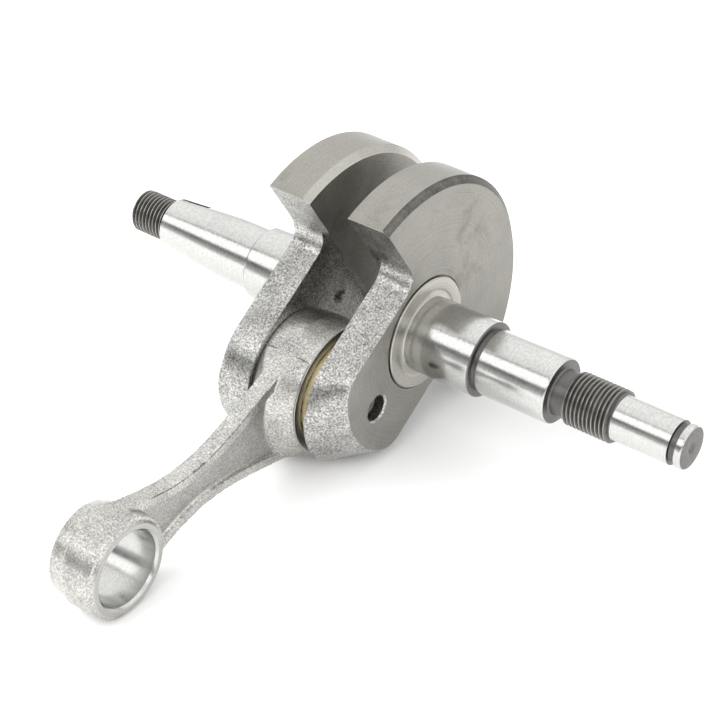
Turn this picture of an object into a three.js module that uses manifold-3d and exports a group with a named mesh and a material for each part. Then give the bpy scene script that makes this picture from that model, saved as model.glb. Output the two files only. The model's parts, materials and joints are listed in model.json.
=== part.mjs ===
// Built-up crankshaft of a single-cylinder two-stroke engine, with its connecting rod.
//
// Millimetres, +Z up. The shaft axis runs along X, the clutch end points to +X and the flywheel
// end to -X. The assembly lies on the plane z = 0 on both pairs of web tips, on the round ends
// of the crank arms and on the small end of the rod, with its box centred on the origin in X, Y.
//
// Crank frame, before the resting roll: +Y points to the counterweights and the crankpin is at
// -Y. x = 0 is the outer face of the clutch-side web.

import * as THREE from 'three';
import { mergeVertices } from 'three/addons/utils/BufferGeometryUtils.js';
import Module from 'manifold-3d';

const wasm = await Module();
wasm.setup();

// ---------------------------------------------------------------- driving dimensions

const CRANK_RADIUS = 20; // half the 40 mm stroke
const WEB_RADIUS = 35.25;
const WEB_THICKNESS = 10.3; // at the counterweight
const ARM_THICKNESS = 7.9;
const ARM_HALF_WIDTH = 16; // at the inner face
const ARM_END_REACH = 15; // from the crankpin's axis to the arm's end, at the inner face
const CLUTCH_ARM_DRAFT = 1.2; // how much narrower the arm's outer face is on each side
const CLUTCH_ARM_CUTBACK = 6.8; // how much shorter the arm's outer face is at the crankpin end
const FLYWHEEL_ARM_DRAFT = -0.3; // this arm widens outwards instead, and isn't cut back
const COUNTERWEIGHT_GAP = 10.5; // between the inner faces of the two counterweights
const FLANK_OFFSET = 5.2; // from the shaft axis to the counterweight's straight flank
const FLANK_FILLET = 4.5;
const TIP_ROUND = 0.6;
const RIM_CHAMFER_RADIAL = 1.6;
const RIM_CHAMFER_AXIAL = 1.35;
const RIM_EDGE_BREAK = 0.4;

const BOSS_RADIUS = 12.8; // raised face that the main bearing's inner ring seats against
const BOSS_HEIGHT = 0.5;
const BEARING_SEAT_RADIUS = 8.5; // 17 mm main bearings
const CLUTCH_BEARING_SEAT = 16.6; // length of the clutch-side seat, from the boss
const CLUTCH_JOURNAL_RADIUS = 7.4;
const CLUTCH_JOURNAL_LENGTH = 18.2;
const CLUTCH_NECK_RADIUS = 5.2;
const CLUTCH_NECK_LENGTH = 3.3;
const CLUTCH_THREAD_RADIUS = 5.95; // M12 x 1
const CLUTCH_THREAD_LENGTH = 11.6;
const STUB_RADIUS = 4.95;
const STUB_LENGTH = 16.6;
const CLIP_GROOVE_WIDTH = 1.6;
const CLIP_GROOVE_DEPTH = 0.9;
const CLIP_GROOVE_TO_END = 1.5;

const FLYWHEEL_BEARING_SEAT = 13.1;
const FLYWHEEL_JOURNAL_RADIUS = 7.4; // also the big end of the taper
const FLYWHEEL_JOURNAL_LENGTH = 8;
const TAPER_LENGTH = 18.3;
const TAPER_END_RADIUS = 5.95;
const FLYWHEEL_THREAD_RADIUS = 4.95; // M10 x 1
const FLYWHEEL_THREAD_LENGTH = 9.7;
const KEY_WIDTH = 3;
const KEY_CUTTER_RADIUS = 5;
const KEY_SLOT_DEPTH = 2;
const KEY_TO_TAPER_END = 4.3; // from the thread end of the taper to the slot's middle
const KEY_CLOCKING = THREE.MathUtils.degToRad(28); // turned from the counterweight's middle

const SHAFT_CHAMFER = 0.7;
const CENTRE_HOLE_RADIUS = 1.9;
const CENTRE_HOLE_DEPTH = 2.2;

const CRANKPIN_RADIUS = 9;
const CRANKPIN_BORE_RADIUS = 2.4;
const CRANKPIN_CHAMFER = 0.4;
const ACCESS_HOLE_RADIUS = 3; // through the web's outer wall, behind the crankpin
const ACCESS_HOLE_CHAMFER = 0.4;
const PRESS_WALL = 2.6; // web left between the crankpin's end and the outer face

const NEEDLE_COUNT = 13;
const NEEDLE_DIAMETER = 3;
const NEEDLE_LENGTH = 9.2;
const CAGE_LENGTH = 13;
const CAGE_RADIAL_PLAY = 0.3;
const CAGE_PHASE = THREE.MathUtils.degToRad(169.6); // angle of the first needle at rest

const ROD_LENGTH = 67.5; // big-end centre to small-end centre
const ROD_WIDTH = 12.2; // both ends
const BIG_END_FACE_RADIUS = 14.7;
const BIG_END_CROWN = 0.6; // forging draft: how much larger the outside is at mid width
const SMALL_END_BORE_RADIUS = 8.5;
const SMALL_END_FACE_RADIUS = 10.3;
const SMALL_END_CROWN = 0.9;
const BORE_CHAMFER_BIG = 0.6;
const BORE_CHAMFER_SMALL = 0.85;
const SHANK_THICKNESS = 4.2;
const SHANK_WAIST = 5.3; // half height at the narrowest place
const SHANK_WAIST_AT = 40.5; // from the big-end centre
const SHANK_SPLAY = THREE.MathUtils.degToRad(14); // of each edge where it leaves the big eye
const SHANK_FLANGE = 2.3;
const POCKET_DEPTH = 1;
const BIG_END_BLEND = 3.9; // from the eye's side face down to the pocket's floor
const SMALL_END_BLEND = 1.5;

// ---------------------------------------------------------------- named clearances

const PRESS_GAP = 0.05; // stands in for the press fit between crankpin and web
const PRESS_END_GAP = 0.1;
const NEEDLE_PLAY = 0.04; // on each side of a needle
const POCKET_PLAY = 0.1;
const ROD_SIDE_PLAY = 0.1; // the rod rests this far from the flywheel-side arm
const CAGE_SIDE_PLAY = 0.7; // the cage rests this far from the flywheel-side arm

// ---------------------------------------------------------------- positions that follow

const armInner = -ARM_THICKNESS;
const farArmInner = -(2 * WEB_THICKNESS - ARM_THICKNESS + COUNTERWEIGHT_GAP);
const farWebOuter = -(2 * WEB_THICKNESS + COUNTERWEIGHT_GAP);
const bigEndBoreRadius = CRANKPIN_RADIUS + NEEDLE_DIAMETER;
const needlePitchRadius = CRANKPIN_RADIUS + NEEDLE_DIAMETER / 2;
const rodMiddle = farArmInner + ROD_SIDE_PLAY + ROD_WIDTH / 2;
const cageMiddle = farArmInner + CAGE_SIDE_PLAY + CAGE_LENGTH / 2;

const FULL_TURN = 2 * Math.PI;
const SHAFT_SEGMENTS = 48;
const BEARING_SEGMENTS = 52; // a multiple of the needle count
const NEEDLE_SEGMENTS = 16;
const OVERRUN = 1; // how far a cutting body runs past the face that it cuts

// ---------------------------------------------------------------- solids

// A closed mesh as a manifold solid.
function toSolid(geometry) {
  const bare = geometry.index ? geometry.toNonIndexed() : geometry.clone();
  bare.deleteAttribute('normal');
  bare.deleteAttribute('uv');
  const merged = mergeVertices(bare, 1e-5);
  return new wasm.Manifold(new wasm.Mesh({
    numProp: 3,
    vertProperties: new Float32Array(merged.attributes.position.array),
    triVerts: new Uint32Array(merged.index.array),
  }));
}

// A manifold solid as a mesh geometry.
function toGeometry(solid) {
  const mesh = solid.getMesh();
  const geometry = new THREE.BufferGeometry();
  geometry.setAttribute('position', new THREE.Float32BufferAttribute(mesh.vertProperties, 3));
  geometry.setIndex(new THREE.Uint32BufferAttribute(mesh.triVerts, 1));
  geometry.computeVertexNormals();
  return geometry;
}

// Turned body about the X axis. The profile lists [x, radius] with x rising along the outside.
function turned(profile, segments = SHAFT_SEGMENTS) {
  const points = profile.map(([x, radius]) => new THREE.Vector2(radius, x));
  const geometry = new THREE.LatheGeometry(points, segments);
  geometry.rotateZ(-Math.PI / 2);
  return geometry;
}

// Turned ring about the X axis: the profile closes on itself.
function turnedRing(profile, segments) {
  return turned([...profile, profile[0]], segments);
}

// An outline in the YZ plane, extruded along X between two places.
function extrudedX(outline, fromX, toX) {
  const shape = new THREE.Shape(outline);
  const geometry = new THREE.ExtrudeGeometry(shape, { depth: toX - fromX, bevelEnabled: false });
  const axes = new THREE.Matrix4().makeBasis(
    new THREE.Vector3(0, 1, 0),
    new THREE.Vector3(0, 0, 1),
    new THREE.Vector3(1, 0, 0),
  );
  geometry.applyMatrix4(axes);
  geometry.translate(fromX, 0, 0);
  return geometry;
}

// Points of a circular arc in the YZ plane, both ends included.
function arc(centreY, centreZ, radius, from, to, steps) {
  const points = [];
  for (let i = 0; i <= steps; i += 1) {
    const angle = from + (to - from) * i / steps;
    points.push(new THREE.Vector2(
      centreY + radius * Math.cos(angle),
      centreZ + radius * Math.sin(angle),
    ));
  }
  return points;
}

function moved(geometry, x, y, z) {
  geometry.translate(x, y, z);
  return geometry;
}

// ---------------------------------------------------------------- crank halves

const tipCentreY = FLANK_OFFSET + TIP_ROUND;
const tipCentreZ = Math.sqrt((WEB_RADIUS - TIP_ROUND) ** 2 - tipCentreY ** 2);

// The counterweight: a turned and chamfered disc, kept beyond the straight flank.
function counterweight(lowX, highX) {
  const faceRadius = WEB_RADIUS - RIM_CHAMFER_RADIAL;
  const disc = turned([
    [lowX, 0],
    [lowX, WEB_RADIUS - RIM_EDGE_BREAK],
    [lowX + RIM_EDGE_BREAK, WEB_RADIUS],
    [highX - RIM_CHAMFER_AXIAL, WEB_RADIUS],
    [highX, faceRadius],
    [highX, 0],
  ], 2 * SHAFT_SEGMENTS);
  const tipAngle = Math.atan2(tipCentreZ, tipCentreY);
  const reach = WEB_RADIUS + OVERRUN;
  const outline = [
    ...arc(tipCentreY, -tipCentreZ, TIP_ROUND, Math.PI, FULL_TURN - tipAngle, 6),
    new THREE.Vector2(reach * Math.cos(tipAngle), -reach * Math.sin(tipAngle)),
    new THREE.Vector2(reach * Math.SQRT2, -reach),
    new THREE.Vector2(reach * Math.SQRT2, reach),
    new THREE.Vector2(reach * Math.cos(tipAngle), reach * Math.sin(tipAngle)),
    ...arc(tipCentreY, tipCentreZ, TIP_ROUND, tipAngle, Math.PI, 6),
  ];
  const sector = extrudedX(outline, lowX - OVERRUN, highX + OVERRUN);
  return toSolid(disc).intersect(toSolid(sector));
}

// The forged arm from the shaft to the crankpin. Its outer face is narrower than its inner face
// by sideDraft on each side, and shorter at the crankpin end by endCutback.
function arm(innerX, outerX, sideDraft, endCutback) {
  const filletCentreY = FLANK_OFFSET - FLANK_FILLET;
  const filletCentreZ = ARM_HALF_WIDTH + FLANK_FILLET;
  const rootY = FLANK_OFFSET + OVERRUN;
  const quarter = Math.PI / 2;
  const end = arc(0, 0, 1, quarter, 3 * quarter, 24).map((point) => new THREE.Vector2(
    point.x * ARM_END_REACH - CRANK_RADIUS,
    point.y * ARM_HALF_WIDTH,
  ));
  const outline = [
    new THREE.Vector2(rootY, filletCentreZ),
    ...arc(filletCentreY, filletCentreZ, FLANK_FILLET, 0, -quarter, 6),
    ...end,
    ...arc(filletCentreY, -filletCentreZ, FLANK_FILLET, quarter, 0, 6),
    new THREE.Vector2(rootY, -filletCentreZ),
  ];
  const geometry = extrudedX(outline, Math.min(innerX, outerX), Math.max(innerX, outerX));
  const sideScale = 1 - sideDraft / ARM_HALF_WIDTH;
  const endScale = 1 - endCutback / ARM_END_REACH;
  const position = geometry.attributes.position;
  for (let i = 0; i < position.count; i += 1) {
    if (Math.abs(position.getX(i) - outerX) > 1e-3) continue;
    const beyondPin = position.getY(i) + CRANK_RADIUS;
    position.setZ(i, position.getZ(i) * sideScale);
    if (beyondPin < 0) position.setY(i, beyondPin * endScale - CRANK_RADIUS);
  }
  return toSolid(geometry);
}

// One crank half: web and shaft in one forging, with the blind press bore for the crankpin and
// the access hole behind it. outward is +1 for the clutch side and -1 for the flywheel side.
function crankHalf(shaft, outerX, outward, armDraft, armCutback) {
  const innerX = outerX - outward * WEB_THICKNESS;
  const armInnerX = outerX - outward * ARM_THICKNESS;
  const boreEndX = outerX - outward * PRESS_WALL;
  const pastArmX = armInnerX - outward * OVERRUN;
  const mouthRadius = ACCESS_HOLE_RADIUS + ACCESS_HOLE_CHAMFER;
  const pressBore = [
    [Math.min(boreEndX, pastArmX), 0],
    [Math.min(boreEndX, pastArmX), CRANKPIN_RADIUS + PRESS_GAP],
    [Math.max(boreEndX, pastArmX), CRANKPIN_RADIUS + PRESS_GAP],
    [Math.max(boreEndX, pastArmX), 0],
  ];
  const accessHole = [
    [boreEndX - outward * OVERRUN, 0],
    [boreEndX - outward * OVERRUN, ACCESS_HOLE_RADIUS],
    [outerX - outward * ACCESS_HOLE_CHAMFER, ACCESS_HOLE_RADIUS],
    [outerX + outward * OVERRUN, mouthRadius + OVERRUN],
    [outerX + outward * OVERRUN, 0],
  ];
  if (outward < 0) accessHole.reverse();
  const pressCut = moved(turned(pressBore), 0, -CRANK_RADIUS, 0);
  const accessCut = moved(turned(accessHole, SHAFT_SEGMENTS / 2), 0, -CRANK_RADIUS, 0);
  return counterweight(Math.min(innerX, outerX), Math.max(innerX, outerX))
    .add(arm(armInnerX, outerX, armDraft, armCutback))
    .add(toSolid(shaft))
    .subtract(toSolid(pressCut))
    .subtract(toSolid(accessCut));
}

function clutchSideHalf() {
  const seatEnd = BOSS_HEIGHT + CLUTCH_BEARING_SEAT;
  const journalEnd = seatEnd + CLUTCH_JOURNAL_LENGTH;
  const threadStart = journalEnd + CLUTCH_NECK_LENGTH;
  const threadEnd = threadStart + CLUTCH_THREAD_LENGTH;
  const shaftEnd = threadEnd + STUB_LENGTH;
  const grooveEnd = shaftEnd - CLIP_GROOVE_TO_END;
  const grooveStart = grooveEnd - CLIP_GROOVE_WIDTH;
  const seatStep = BEARING_SEAT_RADIUS - CLUTCH_JOURNAL_RADIUS;
  const threadStep = CLUTCH_THREAD_RADIUS - STUB_RADIUS;
  const shaft = turned([
    [armInner + OVERRUN, 0],
    [armInner + OVERRUN, BOSS_RADIUS - OVERRUN],
    [0 - OVERRUN, BOSS_RADIUS],
    [BOSS_HEIGHT, BOSS_RADIUS],
    [BOSS_HEIGHT, BEARING_SEAT_RADIUS],
    [seatEnd, BEARING_SEAT_RADIUS],
    [seatEnd + seatStep, CLUTCH_JOURNAL_RADIUS],
    [journalEnd - RIM_EDGE_BREAK, CLUTCH_JOURNAL_RADIUS],
    [journalEnd, CLUTCH_JOURNAL_RADIUS - RIM_EDGE_BREAK],
    [journalEnd, CLUTCH_NECK_RADIUS],
    [threadStart, CLUTCH_NECK_RADIUS],
    [threadStart + SHAFT_CHAMFER, CLUTCH_THREAD_RADIUS],
    [threadEnd - threadStep, CLUTCH_THREAD_RADIUS],
    [threadEnd, STUB_RADIUS],
    [grooveStart, STUB_RADIUS],
    [grooveStart, STUB_RADIUS - CLIP_GROOVE_DEPTH],
    [grooveEnd, STUB_RADIUS - CLIP_GROOVE_DEPTH],
    [grooveEnd, STUB_RADIUS],
    [shaftEnd - SHAFT_CHAMFER, STUB_RADIUS],
    [shaftEnd, STUB_RADIUS - SHAFT_CHAMFER],
    [shaftEnd, CENTRE_HOLE_RADIUS],
    [shaftEnd - CENTRE_HOLE_DEPTH, 0],
  ]);
  return toGeometry(crankHalf(shaft, 0, 1, CLUTCH_ARM_DRAFT, CLUTCH_ARM_CUTBACK));
}

function flywheelSideHalf() {
  const seatStart = farWebOuter - BOSS_HEIGHT;
  const seatEnd = seatStart - FLYWHEEL_BEARING_SEAT;
  const seatStep = BEARING_SEAT_RADIUS - FLYWHEEL_JOURNAL_RADIUS;
  const taperStart = seatEnd - FLYWHEEL_JOURNAL_LENGTH;
  const taperEnd = taperStart - TAPER_LENGTH;
  const shaftEnd = taperEnd - FLYWHEEL_THREAD_LENGTH;
  const shaft = turned([
    [shaftEnd + CENTRE_HOLE_DEPTH, 0],
    [shaftEnd, CENTRE_HOLE_RADIUS],
    [shaftEnd, FLYWHEEL_THREAD_RADIUS - 2 * SHAFT_CHAMFER],
    [shaftEnd + SHAFT_CHAMFER, FLYWHEEL_THREAD_RADIUS - SHAFT_CHAMFER / 2],
    [shaftEnd + 2 * SHAFT_CHAMFER, FLYWHEEL_THREAD_RADIUS],
    [taperEnd, FLYWHEEL_THREAD_RADIUS],
    [taperEnd, TAPER_END_RADIUS - SHAFT_CHAMFER / 2],
    [taperEnd + SHAFT_CHAMFER / 2, TAPER_END_RADIUS],
    [taperStart, FLYWHEEL_JOURNAL_RADIUS],
    [seatEnd - seatStep, FLYWHEEL_JOURNAL_RADIUS],
    [seatEnd, BEARING_SEAT_RADIUS],
    [seatStart, BEARING_SEAT_RADIUS],
    [seatStart, BOSS_RADIUS],
    [farWebOuter + OVERRUN, BOSS_RADIUS],
    [farArmInner - OVERRUN, BOSS_RADIUS - OVERRUN],
    [farArmInner - OVERRUN, 0],
  ]);
  // Half-round key slot, cut by a disc that stands across the taper.
  const slotX = taperEnd + KEY_TO_TAPER_END;
  const slope = (FLYWHEEL_JOURNAL_RADIUS - TAPER_END_RADIUS) / TAPER_LENGTH;
  const slotSurface = TAPER_END_RADIUS + slope * KEY_TO_TAPER_END;
  const cutter = new THREE.CylinderGeometry(KEY_CUTTER_RADIUS, KEY_CUTTER_RADIUS, KEY_WIDTH, 40);
  cutter.rotateX(Math.PI / 2);
  cutter.translate(slotX, slotSurface - KEY_SLOT_DEPTH + KEY_CUTTER_RADIUS, 0);
  cutter.rotateX(KEY_CLOCKING);
  const latheCentre = turned([
    [farArmInner - CENTRE_HOLE_DEPTH, 0],
    [farArmInner + OVERRUN, CENTRE_HOLE_RADIUS + OVERRUN],
    [farArmInner + OVERRUN, 0],
  ], SHAFT_SEGMENTS / 2);
  return toGeometry(
    crankHalf(shaft, farWebOuter, -1, FLYWHEEL_ARM_DRAFT, FLYWHEEL_ARM_DRAFT)
      .subtract(toSolid(cutter))
      .subtract(toSolid(latheCentre)),
  );
}

// The pressed pin that joins the two halves and carries the big-end bearing, bored through.
function crankpin() {
  const lowX = farWebOuter + PRESS_WALL + PRESS_END_GAP;
  const highX = -PRESS_WALL - PRESS_END_GAP;
  const ring = turnedRing([
    [lowX, CRANKPIN_BORE_RADIUS],
    [lowX, CRANKPIN_RADIUS - CRANKPIN_CHAMFER],
    [lowX + CRANKPIN_CHAMFER, CRANKPIN_RADIUS],
    [highX - CRANKPIN_CHAMFER, CRANKPIN_RADIUS],
    [highX, CRANKPIN_RADIUS - CRANKPIN_CHAMFER],
    [highX, CRANKPIN_BORE_RADIUS],
  ], SHAFT_SEGMENTS);
  return moved(ring, 0, -CRANK_RADIUS, 0);
}

// ---------------------------------------------------------------- big-end bearing

// Cage in its own frame: axis on X, the first pocket on +Y.
function needleCage() {
  const half = CAGE_LENGTH / 2;
  const innerRadius = CRANKPIN_RADIUS + CAGE_RADIAL_PLAY;
  const outerRadius = bigEndBoreRadius - CAGE_RADIAL_PLAY;
  let cage = toSolid(turnedRing([
    [-half, innerRadius],
    [-half, outerRadius],
    [half, outerRadius],
    [half, innerRadius],
  ], 2 * BEARING_SEGMENTS));
  const pocketLength = NEEDLE_LENGTH + 2 * POCKET_PLAY;
  const pocketWidth = NEEDLE_DIAMETER + POCKET_PLAY;
  const pocketHeight = outerRadius - innerRadius + 2 * OVERRUN;
  for (let i = 0; i < NEEDLE_COUNT; i += 1) {
    const pocket = new THREE.BoxGeometry(pocketLength, pocketHeight, pocketWidth);
    pocket.translate(0, needlePitchRadius, 0);
    pocket.rotateX(FULL_TURN * i / NEEDLE_COUNT);
    cage = cage.subtract(toSolid(pocket));
  }
  return toGeometry(cage);
}

function needleRoller() {
  const radius = NEEDLE_DIAMETER / 2 - NEEDLE_PLAY;
  const geometry = new THREE.CylinderGeometry(radius, radius, NEEDLE_LENGTH, NEEDLE_SEGMENTS);
  geometry.rotateZ(Math.PI / 2);
  return geometry;
}

// ---------------------------------------------------------------- connecting rod

// One end of the rod: a forged eye, crowned by its draft, about a centre on the -Y axis.
function rodEye(faceRadius, crown, distance) {
  const half = ROD_WIDTH / 2;
  const eye = turned([
    [-half, 0],
    [-half, faceRadius],
    [0, faceRadius + crown],
    [half, faceRadius],
    [half, 0],
  ]);
  return toSolid(moved(eye, 0, -distance, 0));
}

// The bore of an eye, with a chamfer at each mouth.
function rodBore(radius, chamfer, distance, segments) {
  const half = ROD_WIDTH / 2;
  const mouth = radius + chamfer + OVERRUN;
  const bore = turned([
    [-half - OVERRUN, 0],
    [-half - OVERRUN, mouth],
    [-half + chamfer, radius],
    [half - chamfer, radius],
    [half + OVERRUN, mouth],
    [half + OVERRUN, 0],
  ], segments);
  return toSolid(moved(bore, 0, -distance, 0));
}

// Upper edge of the shank from the big eye to the small one, drawn in by inset.
function shankEdge(inset) {
  const bigAngle = THREE.MathUtils.degToRad(58);
  const smallAngle = THREE.MathUtils.degToRad(98);
  const bigRadius = BIG_END_FACE_RADIUS + BIG_END_CROWN;
  const smallRadius = SMALL_END_FACE_RADIUS + SMALL_END_CROWN;
  const waist = new THREE.Vector2(SHANK_WAIST_AT, SHANK_WAIST);
  const start = new THREE.Vector2(bigRadius * Math.cos(bigAngle), bigRadius * Math.sin(bigAngle));
  const end = new THREE.Vector2(
    ROD_LENGTH + smallRadius * Math.cos(smallAngle),
    smallRadius * Math.sin(smallAngle),
  );
  const startPull = new THREE.Vector2(Math.cos(SHANK_SPLAY), -Math.sin(SHANK_SPLAY));
  const endPull = new THREE.Vector2(-Math.sin(smallAngle), Math.cos(smallAngle));
  const bigSpan = waist.x - start.x;
  const smallSpan = end.x - waist.x;
  const toWaist = new THREE.CubicBezierCurve(
    start,
    start.clone().addScaledVector(startPull, bigSpan * 0.34),
    new THREE.Vector2(waist.x - bigSpan * 0.32, waist.y),
    waist,
  );
  const fromWaist = new THREE.CubicBezierCurve(
    waist,
    new THREE.Vector2(waist.x + smallSpan * 0.45, waist.y),
    end.clone().addScaledVector(endPull, smallSpan * 0.3),
    end,
  );
  const edge = [...toWaist.getPoints(9), ...fromWaist.getPoints(8).slice(1)];
  return edge.map((point) => new THREE.Vector2(-point.x, point.y - inset));
}

function mirroredOutline(edge) {
  const lower = edge.map((point) => new THREE.Vector2(point.x, -point.y)).reverse();
  return [...edge, ...lower];
}

// The I-shaped shank, with a pocket in each side and a cone down from the face of each eye.
function rodShank() {
  const half = ROD_WIDTH / 2;
  const halfShank = SHANK_THICKNESS / 2;
  const floor = halfShank - POCKET_DEPTH;
  const edge = shankEdge(0);
  const outline = mirroredOutline(edge);
  const pocketOutline = mirroredOutline(shankEdge(SHANK_FLANGE));
  const plate = toSolid(extrudedX(outline, -halfShank, halfShank));
  const full = toSolid(extrudedX(outline, -half, half));
  const cone = (faceRadius, width, distance) => toSolid(moved(turned([
    [-half, 0],
    [-half, faceRadius],
    [-floor, faceRadius + width],
    [floor, faceRadius + width],
    [half, faceRadius],
    [half, 0],
  ]), 0, -distance, 0));
  const bigBlend = full.intersect(cone(BIG_END_FACE_RADIUS, BIG_END_BLEND, 0));
  const smallBlend = full.intersect(cone(SMALL_END_FACE_RADIUS, SMALL_END_BLEND, ROD_LENGTH));
  const nearPocket = extrudedX(pocketOutline, floor, half);
  const farPocket = extrudedX(pocketOutline, -half, -floor);
  return plate
    .subtract(toSolid(nearPocket))
    .subtract(toSolid(farPocket))
    .add(bigBlend)
    .add(smallBlend);
}

// Rod in its own frame: big-end centre at the origin, small end towards -Y.
function connectingRod() {
  const solid = rodShank()
    .add(rodEye(BIG_END_FACE_RADIUS, BIG_END_CROWN, 0))
    .add(rodEye(SMALL_END_FACE_RADIUS, SMALL_END_CROWN, ROD_LENGTH))
    .subtract(rodBore(bigEndBoreRadius, BORE_CHAMFER_BIG, 0, BEARING_SEGMENTS))
    .subtract(rodBore(SMALL_END_BORE_RADIUS, BORE_CHAMFER_SMALL, ROD_LENGTH, SHAFT_SEGMENTS));
  return toGeometry(solid);
}

// ---------------------------------------------------------------- materials

function steel(color, roughness) {
  return new THREE.MeshStandardMaterial({ color, roughness, metalness: 1 });
}

const forgedSteel = () => steel(0x8f8e88, 0.5);
const rodSteel = () => steel(0xa3a29c, 0.6);
const hardenedSteel = () => steel(0xb4b5b4, 0.25);
const cageMetal = () => steel(0xcdbd84, 0.35);

function part(name, geometry, material) {
  const mesh = new THREE.Mesh(geometry, material);
  mesh.name = name;
  return mesh;
}

// ---------------------------------------------------------------- resting pose

// The crank rolls until the round end of the flywheel-side arm and one pair of counterweight
// tips both touch. The arm's end is an ellipse, so its height depends on the roll.
const rollReach = Math.hypot(tipCentreZ, CRANK_RADIUS + tipCentreY);
const rollPhase = Math.atan2(CRANK_RADIUS + tipCentreY, tipCentreZ);
const armEnd = ARM_END_REACH - FLYWHEEL_ARM_DRAFT;
const armSide = ARM_HALF_WIDTH - FLYWHEEL_ARM_DRAFT;
let roll = 0;
let pinHeight = armSide;
for (let step = 0; step < 12; step += 1) {
  roll = Math.acos((pinHeight - TIP_ROUND) / rollReach) - rollPhase;
  pinHeight = Math.hypot(armEnd * Math.sin(roll), armSide * Math.cos(roll));
}
const shaftHeight = pinHeight + CRANK_RADIUS * Math.sin(roll);

// The rod drops until its small end touches.
const smallEndHeight = SMALL_END_FACE_RADIUS + SMALL_END_CROWN;
const rodDrop = Math.asin((pinHeight - smallEndHeight) / ROD_LENGTH);

// ---------------------------------------------------------------- assembly

const crank = new THREE.Group();
crank.position.set(0, 0, shaftHeight);
crank.rotation.x = roll;
crank.add(part('clutch_side_crank_half', clutchSideHalf(), forgedSteel()));
crank.add(part('flywheel_side_crank_half', flywheelSideHalf(), forgedSteel()));
crank.add(part('crankpin', crankpin(), hardenedSteel()));

const pinY = -CRANK_RADIUS * Math.cos(roll);

const rod = new THREE.Group();
rod.position.set(rodMiddle, pinY, pinHeight);
rod.rotation.x = rodDrop;
rod.add(part('connecting_rod', connectingRod(), rodSteel()));

const bearing = new THREE.Group();
bearing.position.set(cageMiddle, pinY, pinHeight);
bearing.rotation.x = CAGE_PHASE;
bearing.add(part('big_end_needle_cage', needleCage(), cageMetal()));
for (let i = 0; i < NEEDLE_COUNT; i += 1) {
  const angle = FULL_TURN * i / NEEDLE_COUNT;
  const number = String(i + 1).padStart(2, '0');
  const needle = part(`needle_roller_${number}`, needleRoller(), hardenedSteel());
  needle.position.set(0, needlePitchRadius * Math.cos(angle), needlePitchRadius * Math.sin(angle));
  bearing.add(needle);
}

const assembly = new THREE.Group();
assembly.add(crank, rod, bearing);
assembly.updateMatrixWorld(true);

// Centre the box over the origin, on the plane that the assembly lies on.
const box = new THREE.Box3().setFromObject(assembly, true);
assembly.position.set(-(box.min.x + box.max.x) / 2, -(box.min.y + box.max.y) / 2, -box.min.z);
assembly.updateMatrixWorld(true);

export default assembly;
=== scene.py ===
"""Built-up crankshaft of a single-cylinder two-stroke engine, with its connecting rod.

Sizes inside the builders are millimetres in the frame of the part being made: X runs along
the shaft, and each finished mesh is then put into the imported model's frame, in metres.
"""

import json
import math

import bmesh
import bpy
from bpy.props import FloatProperty, FloatVectorProperty, IntProperty, PointerProperty
from mathutils import Matrix, Vector


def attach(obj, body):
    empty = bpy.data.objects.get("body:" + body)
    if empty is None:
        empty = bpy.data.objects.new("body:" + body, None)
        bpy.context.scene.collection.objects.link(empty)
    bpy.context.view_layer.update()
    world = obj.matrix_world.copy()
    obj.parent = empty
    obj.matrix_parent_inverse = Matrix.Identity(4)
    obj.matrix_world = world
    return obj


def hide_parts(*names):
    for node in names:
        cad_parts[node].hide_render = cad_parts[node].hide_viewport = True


bl_info = {
    "name": "Two-stroke crankshaft",
    "version": (1, 0, 0),
    "blender": (4, 5, 0),
    "location": "3D View > Sidebar > Crankshaft",
    "description": "Builds a pressed-up crankshaft with its rod and needle bearing",
    "category": "Object",
}

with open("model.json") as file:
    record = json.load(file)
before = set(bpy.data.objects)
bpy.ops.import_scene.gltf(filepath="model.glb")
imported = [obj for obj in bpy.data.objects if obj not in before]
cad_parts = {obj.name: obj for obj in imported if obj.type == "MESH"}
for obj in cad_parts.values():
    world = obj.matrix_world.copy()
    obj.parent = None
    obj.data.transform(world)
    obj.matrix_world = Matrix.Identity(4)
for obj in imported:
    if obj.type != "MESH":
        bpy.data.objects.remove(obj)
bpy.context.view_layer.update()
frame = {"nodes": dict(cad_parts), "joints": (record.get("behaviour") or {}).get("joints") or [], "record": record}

MM = 0.001
FULL_TURN = 2 * math.pi
SHARP = math.radians(32)

# ------------------------------------------------------------------ places from the record

joint_place = {j["name"]: Vector(j["pos_m"]) for j in frame["joints"]}
mount_place = {m["name"]: Vector(m["pos_m"]) for m in frame["record"]["mounts"]}
small_end_box = frame["record"]["physics"]["openings"][0]["box_m"]

BOSS_HEIGHT = 0.5
SHOULDER_ABOVE_AXIS = 10.65
pin_place = joint_place["rod_swing"]
shoulder = mount_place["clutch_side_bearing_shoulder"]
shaft_place = shoulder - Vector((BOSS_HEIGHT, 0, SHOULDER_ABOVE_AXIS)) * MM
small_end_place = (Vector(small_end_box[0]) + Vector(small_end_box[1])) / 2
bearing_place = joint_place["cage_turn"]


def local_frame(place, towards, quarter):
    """Turns a part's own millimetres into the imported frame. The part's -Y (quarter 2) or +Y
    (quarter 0) points from place to towards."""
    across = towards - place
    angle = math.atan2(across.z, across.y) - quarter * math.pi / 2
    return Matrix.Translation(place) @ Matrix.Rotation(angle, 4, "X") @ Matrix.Scale(MM, 4)


crank_frame = local_frame(shaft_place, pin_place, 2)
rod_frame = local_frame(pin_place, small_end_place, 2)
bearing_frame = local_frame(bearing_place, joint_place["needle_01_roll"], 0)


# ------------------------------------------------------------------ sizes and colours


def linear(hex_colour):
    """An sRGB hex colour as linear red, green, blue and alpha."""
    parts = [(hex_colour >> shift & 255) / 255 for shift in (16, 8, 0)]
    return (*((c / 12.92 if c <= 0.04045 else ((c + 0.055) / 1.055) ** 2.4) for c in parts), 1)


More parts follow.
